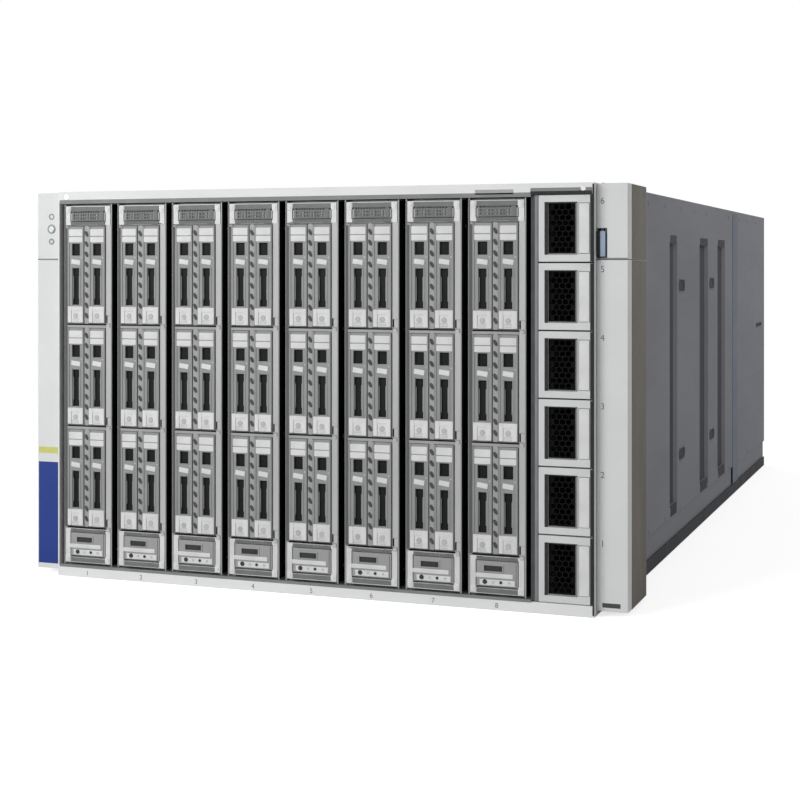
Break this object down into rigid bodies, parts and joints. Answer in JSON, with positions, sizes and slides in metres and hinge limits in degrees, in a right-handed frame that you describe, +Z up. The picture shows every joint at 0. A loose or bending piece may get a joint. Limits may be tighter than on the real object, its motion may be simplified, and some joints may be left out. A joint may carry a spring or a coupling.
{
  "type": "blade server chassis",
  "caption": "Seven-unit rack chassis with upright pull-out compute nodes, front power supplies and rear fan, fabric and expansion modules.",
  "frame": {"origin": "on the centre line of the width, in the plane of the side panels' front faces, at the underside", "axes": "+X to the right seen from the front, +Y from the front to the rear, +Z up"},
  "size_m": [0.4826, 0.895, 0.306],
  "materials": {
    "zinc_plated_steel": "zinc-plated sheet, satin",
    "dark_coated_steel": "dark coated sheet, matt",
    "light_grey_enamel": "light grey stoved enamel, satin",
    "circuit_board": "solder-masked glass laminate",
    "copper_bar": "plain rolled copper",
    "flange_steel": "zinc-plated plate, satin",
    "light_grey_plastic": "moulded, fine matt texture",
    "inlet_steel": "zinc-plated sheet, satin",
    "button_plastic": "clear-tinted, polished",
    "label_plastic": "moulded, satin",
    "node_steel": "zinc-plated sheet, satin",
    "lever_metal": "light grey enamel, satin",
    "supply_metal": "light grey enamel, satin",
    "fan_plastic": "moulded, matt",
    "rotor_plastic": "glass-filled, moulded, satin",
    "module_steel": "zinc-plated sheet, satin"
  },
  "bodies": {
    "chassis": {"chassis_shell": "zinc_plated_steel", "top_cover": "zinc_plated_steel", "front_frame": "light_grey_enamel", "node_guides": "dark_coated_steel", "psu_cage": "dark_coated_steel", "power_backplane": "circuit_board", "power_busbar": "copper_bar", "rear_frame": "zinc_plated_steel", "module_cage": "zinc_plated_steel", "left_rack_ear": "flange_steel", "right_rack_ear": "flange_steel", "status_panel": "light_grey_plastic", "right_ear_cap": "light_grey_plastic", "power_entry_module": "inlet_steel"},
    "locator_button": {"locator_button": "button_plastic"},
    "label_tab": {"label_tab": "label_plastic"},
    "left_side_panel": {"left_side_panel": "light_grey_plastic"},
    "right_side_panel": {"right_side_panel": "light_grey_plastic"},
    "compute_node_1": {"compute_node_1": "node_steel"},
    "top_lever_1": {"top_lever_1": "lever_metal"},
    "bottom_lever_1": {"bottom_lever_1": "lever_metal"},
    "power_supply_1": {"power_supply_1": "supply_metal"},
    "fan_module_1": {"fan_module_1": "fan_plastic"},
    "fan_rotor_1": {"fan_rotor_1": "rotor_plastic"},
    "fabric_module_1": {"fabric_module_1": "module_steel"},
    "expansion_module_1": {"expansion_module_1": "module_steel"},
    "compute_node_2": {"compute_node_2": "node_steel"},
    "compute_node_3": {"compute_node_3": "node_steel"},
    "compute_node_4": {"compute_node_4": "node_steel"},
    "compute_node_5": {"compute_node_5": "node_steel"},
    "compute_node_6": {"compute_node_6": "node_steel"},
    "compute_node_7": {"compute_node_7": "node_steel"},
    "compute_node_8": {"compute_node_8": "node_steel"},
    "top_lever_2": {"top_lever_2": "lever_metal"},
    "top_lever_3": {"top_lever_3": "lever_metal"},
    "top_lever_4": {"top_lever_4": "lever_metal"},
    "top_lever_5": {"top_lever_5": "lever_metal"},
    "top_lever_6": {"top_lever_6": "lever_metal"},
    "top_lever_7": {"top_lever_7": "lever_metal"},
    "top_lever_8": {"top_lever_8": "lever_metal"},
    "bottom_lever_2": {"bottom_lever_2": "lever_metal"},
    "bottom_lever_3": {"bottom_lever_3": "lever_metal"},
    "bottom_lever_4": {"bottom_lever_4": "lever_metal"},
    "bottom_lever_5": {"bottom_lever_5": "lever_metal"},
    "bottom_lever_6": {"bottom_lever_6": "lever_metal"},
    "bottom_lever_7": {"bottom_lever_7": "lever_metal"},
    "bottom_lever_8": {"bottom_lever_8": "lever_metal"},
    "power_supply_2": {"power_supply_2": "supply_metal"},
    "power_supply_3": {"power_supply_3": "supply_metal"},
    "power_supply_4": {"power_supply_4": "supply_metal"},
    "power_supply_5": {"power_supply_5": "supply_metal"},
    "power_supply_6": {"power_supply_6": "supply_metal"},
    "fan_module_2": {"fan_module_2": "fan_plastic"},
    "fan_module_3": {"fan_module_3": "fan_plastic"},
    "fan_module_4": {"fan_module_4": "fan_plastic"},
    "fan_rotor_2": {"fan_rotor_2": "rotor_plastic"},
    "fan_rotor_3": {"fan_rotor_3": "rotor_plastic"},
    "fan_rotor_4": {"fan_rotor_4": "rotor_plastic"},
    "fabric_module_2": {"fabric_module_2": "module_steel"},
    "expansion_module_2": {"expansion_module_2": "module_steel"}
  },
  "joints": [
    {"name": "locator_button_press", "type": "slide", "parent": "chassis", "child": "locator_button", "axis": [0, 1, 0], "range_m": [0, 0.0006], "stiffness_N_per_m": 400},
    {"name": "label_tab_pull", "type": "slide", "parent": "chassis", "child": "label_tab", "axis": [0, -1, 0], "range_m": [0, 0.045]},
    {"name": "left_side_panel_pull", "type": "slide", "parent": "chassis", "child": "left_side_panel", "axis": [0, -1, 0], "range_m": [0, 0.075]},
    {"name": "right_side_panel_pull", "type": "slide", "parent": "chassis", "child": "right_side_panel", "axis": [0, -1, 0], "range_m": [0, 0.075]},
    {"name": "compute_node_1_slide", "type": "slide", "parent": "chassis", "child": "compute_node_1", "axis": [0, -1, 0], "range_m": [0, 0.56]},
    {"name": "top_lever_1_pivot", "type": "hinge", "parent": "compute_node_1", "child": "top_lever_1", "pos_m": [-0.19134, -0.00345, 0.2915], "axis": [-1, 0, 0], "range_deg": [0, 80]},
    {"name": "bottom_lever_1_pivot", "type": "hinge", "parent": "compute_node_1", "child": "bottom_lever_1", "pos_m": [-0.19134, -0.00345, 0.0145], "axis": [1, 0, 0], "range_deg": [0, 80]},
    {"name": "power_supply_1_slide", "type": "slide", "parent": "chassis", "child": "power_supply_1", "axis": [0, -1, 0], "range_m": [0, 0.26]},
    {"name": "fan_module_1_slide", "type": "slide", "parent": "chassis", "child": "fan_module_1", "axis": [0, 1, 0], "range_m": [0, 0.12]},
    {"name": "fan_rotor_1_spin", "type": "hinge", "parent": "fan_module_1", "child": "fan_rotor_1", "pos_m": [-0.16719, 0.83, 0.1494], "axis": [0, 1, 0], "continuous": true},
    {"name": "fabric_module_1_slide", "type": "slide", "parent": "chassis", "child": "fabric_module_1", "axis": [0, 1, 0], "range_m": [0, 0.24]},
    {"name": "expansion_module_1_slide", "type": "slide", "parent": "chassis", "child": "expansion_module_1", "axis": [0, 1, 0], "range_m": [0, 0.24]},
    {"name": "compute_node_2_slide", "type": "slide", "parent": "chassis", "child": "compute_node_2", "axis": [0, -1, 0], "range_m": [0, 0.56]},
    {"name": "compute_node_3_slide", "type": "slide", "parent": "chassis", "child": "compute_node_3", "axis": [0, -1, 0], "range_m": [0, 0.56]},
    {"name": "compute_node_4_slide", "type": "slide", "parent": "chassis", "child": "compute_node_4", "axis": [0, -1, 0], "range_m": [0, 0.56]},
    {"name": "compute_node_5_slide", "type": "slide", "parent": "chassis", "child": "compute_node_5", "axis": [0, -1, 0], "range_m": [0, 0.56]},
    {"name": "compute_node_6_slide", "type": "slide", "parent": "chassis", "child": "compute_node_6", "axis": [0, -1, 0], "range_m": [0, 0.56]},
    {"name": "compute_node_7_slide", "type": "slide", "parent": "chassis", "child": "compute_node_7", "axis": [0, -1, 0], "range_m": [0, 0.56]},
    {"name": "compute_node_8_slide", "type": "slide", "parent": "chassis", "child": "compute_node_8", "axis": [0, -1, 0], "range_m": [0, 0.56]},
    {"name": "top_lever_2_pivot", "type": "hinge", "parent": "compute_node_2", "child": "top_lever_2", "pos_m": [-0.14303, -0.00345, 0.2915], "axis": [-1, 0, 0], "range_deg": [0, 80]},
    {"name": "top_lever_3_pivot", "type": "hinge", "parent": "compute_node_3", "child": "top_lever_3", "pos_m": [-0.09472, -0.00345, 0.2915], "axis": [-1, 0, 0], "range_deg": [0, 80]},
    {"name": "top_lever_4_pivot", "type": "hinge", "parent": "compute_node_4", "child": "top_lever_4", "pos_m": [-0.04641, -0.00345, 0.2915], "axis": [-1, 0, 0], "range_deg": [0, 80]},
    {"name": "top_lever_5_pivot", "type": "hinge", "parent": "compute_node_5", "child": "top_lever_5", "pos_m": [0.00191, -0.00345, 0.2915], "axis": [-1, 0, 0], "range_deg": [0, 80]},
    {"name": "top_lever_6_pivot", "type": "hinge", "parent": "compute_node_6", "child": "top_lever_6", "pos_m": [0.05022, -0.00345, 0.2915], "axis": [-1, 0, 0], "range_deg": [0, 80]},
    {"name": "top_lever_7_pivot", "type": "hinge", "parent": "compute_node_7", "child": "top_lever_7", "pos_m": [0.09853, -0.00345, 0.2915], "axis": [-1, 0, 0], "range_deg": [0, 80]},
    {"name": "top_lever_8_pivot", "type": "hinge", "parent": "compute_node_8", "child": "top_lever_8", "pos_m": [0.14684, -0.00345, 0.2915], "axis": [-1, 0, 0], "range_deg": [0, 80]},
    {"name": "bottom_lever_2_pivot", "type": "hinge", "parent": "compute_node_2", "child": "bottom_lever_2", "pos_m": [-0.14303, -0.00345, 0.0145], "axis": [1, 0, 0], "range_deg": [0, 80]},
    {"name": "bottom_lever_3_pivot", "type": "hinge", "parent": "compute_node_3", "child": "bottom_lever_3", "pos_m": [-0.09472, -0.00345, 0.0145], "axis": [1, 0, 0], "range_deg": [0, 80]},
    {"name": "bottom_lever_4_pivot", "type": "hinge", "parent": "compute_node_4", "child": "bottom_lever_4", "pos_m": [-0.04641, -0.00345, 0.0145], "axis": [1, 0, 0], "range_deg": [0, 80]},
    {"name": "bottom_lever_5_pivot", "type": "hinge", "parent": "compute_node_5", "child": "bottom_lever_5", "pos_m": [0.00191, -0.00345, 0.0145], "axis": [1, 0, 0], "range_deg": [0, 80]},
    {"name": "bottom_lever_6_pivot", "type": "hinge", "parent": "compute_node_6", "child": "bottom_lever_6", "pos_m": [0.05022, -0.00345, 0.0145], "axis": [1, 0, 0], "range_deg": [0, 80]},
    {"name": "bottom_lever_7_pivot", "type": "hinge", "parent": "compute_node_7", "child": "bottom_lever_7", "pos_m": [0.09853, -0.00345, 0.0145], "axis": [1, 0, 0], "range_deg": [0, 80]},
    {"name": "bottom_lever_8_pivot", "type": "hinge", "parent": "compute_node_8", "child": "bottom_lever_8", "pos_m": [0.14684, -0.00345, 0.0145], "axis": [1, 0, 0], "range_deg": [0, 80]},
    {"name": "power_supply_2_slide", "type": "slide", "parent": "chassis", "child": "power_supply_2", "axis": [0, -1, 0], "range_m": [0, 0.26]},
    {"name": "power_supply_3_slide", "type": "slide", "parent": "chassis", "child": "power_supply_3", "axis": [0, -1, 0], "range_m": [0, 0.26]},
    {"name": "power_supply_4_slide", "type": "slide", "parent": "chassis", "child": "power_supply_4", "axis": [0, -1, 0], "range_m": [0, 0.26]},
    {"name": "power_supply_5_slide", "type": "slide", "parent": "chassis", "child": "power_supply_5", "axis": [0, -1, 0], "range_m": [0, 0.26]},
    {"name": "power_supply_6_slide", "type": "slide", "parent": "chassis", "child": "power_supply_6", "axis": [0, -1, 0], "range_m": [0, 0.26]},
    {"name": "fan_module_2_slide", "type": "slide", "parent": "chassis", "child": "fan_module_2", "axis": [0, 1, 0], "range_m": [0, 0.12]},
    {"name": "fan_module_3_slide", "type": "slide", "parent": "chassis", "child": "fan_module_3", "axis": [0, 1, 0], "range_m": [0, 0.12]},
    {"name": "fan_module_4_slide", "type": "slide", "parent": "chassis", "child": "fan_module_4", "axis": [0, 1, 0], "range_m": [0, 0.12]},
    {"name": "fan_rotor_2_spin", "type": "hinge", "parent": "fan_module_2", "child": "fan_rotor_2", "pos_m": [-0.07056, 0.83, 0.1494], "axis": [0, 1, 0], "continuous": true},
    {"name": "fan_rotor_3_spin", "type": "hinge", "parent": "fan_module_3", "child": "fan_rotor_3", "pos_m": [0.02606, 0.83, 0.1494], "axis": [0, 1, 0], "continuous": true},
    {"name": "fan_rotor_4_spin", "type": "hinge", "parent": "fan_module_4", "child": "fan_rotor_4", "pos_m": [0.12269, 0.83, 0.1494], "axis": [0, 1, 0], "continuous": true},
    {"name": "fabric_module_2_slide", "type": "slide", "parent": "chassis", "child": "fabric_module_2", "axis": [0, 1, 0], "range_m": [0, 0.24]},
    {"name": "expansion_module_2_slide", "type": "slide", "parent": "chassis", "child": "expansion_module_2", "axis": [0, 1, 0], "range_m": [0, 0.24]}
  ]
}
